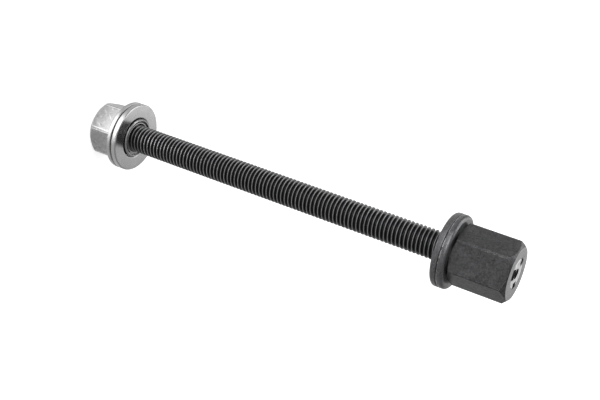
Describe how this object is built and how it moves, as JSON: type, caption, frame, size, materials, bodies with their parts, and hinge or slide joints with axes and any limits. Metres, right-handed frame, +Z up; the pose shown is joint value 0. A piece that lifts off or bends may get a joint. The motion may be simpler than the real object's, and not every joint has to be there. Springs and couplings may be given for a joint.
{
  "type": "control arm bolt",
  "caption": "Threaded puller spindle with a long staked hex head and washers at one end and a hex nut turning on a thrust ball bearing at the other.",
  "frame": {"origin": "centre of the nut's flat end, on which the bolt stands", "axes": "+Z up the spindle from the nut to the hex head, +X to one corner of the head's hexagon"},
  "size_m": [0.03, 0.03, 0.1963],
  "materials": {
    "black_thread": "black oxide, lightly oiled",
    "black_steel": "black oxide, satin, nicked edges",
    "dark_steel": "dark oxide, satin",
    "bright_steel": "milled, bare steel",
    "polished_steel": "ground and polished",
    "cage_brass": "stamped"
  },
  "bodies": {
    "spindle": {"threaded_rod": "black_thread", "hex_head": "black_steel", "front_washer": "dark_steel", "back_washer": "dark_steel"},
    "race": {"front_race": "polished_steel"},
    "nut": {"bearing_nut": "bright_steel", "rear_race": "polished_steel"},
    "cage": {"ball_cage": "cage_brass", "bearing_balls": "polished_steel"}
  },
  "joints": [
    {"name": "race_travel", "type": "slide", "parent": "spindle", "child": "race", "axis": [0, 0, 1], "range_m": [0, 0.1484]},
    {"name": "nut_turn", "type": "hinge", "parent": "race", "child": "nut", "pos_m": [0, 0, 0.0175], "axis": [0, 0, 1], "range_deg": [0, 30510]},
    {"name": "cage_turn", "type": "hinge", "parent": "race", "child": "cage", "pos_m": [0, 0, 0.01482], "axis": [0, 0, 1], "range_deg": [0, 15256]}
  ],
  "couplings": [
    {"joint": "race_travel", "follows": "nut_turn", "m_per_rad": 0.00027852},
    {"joint": "cage_turn", "follows": "nut_turn", "ratio": 0.5}
  ]
}
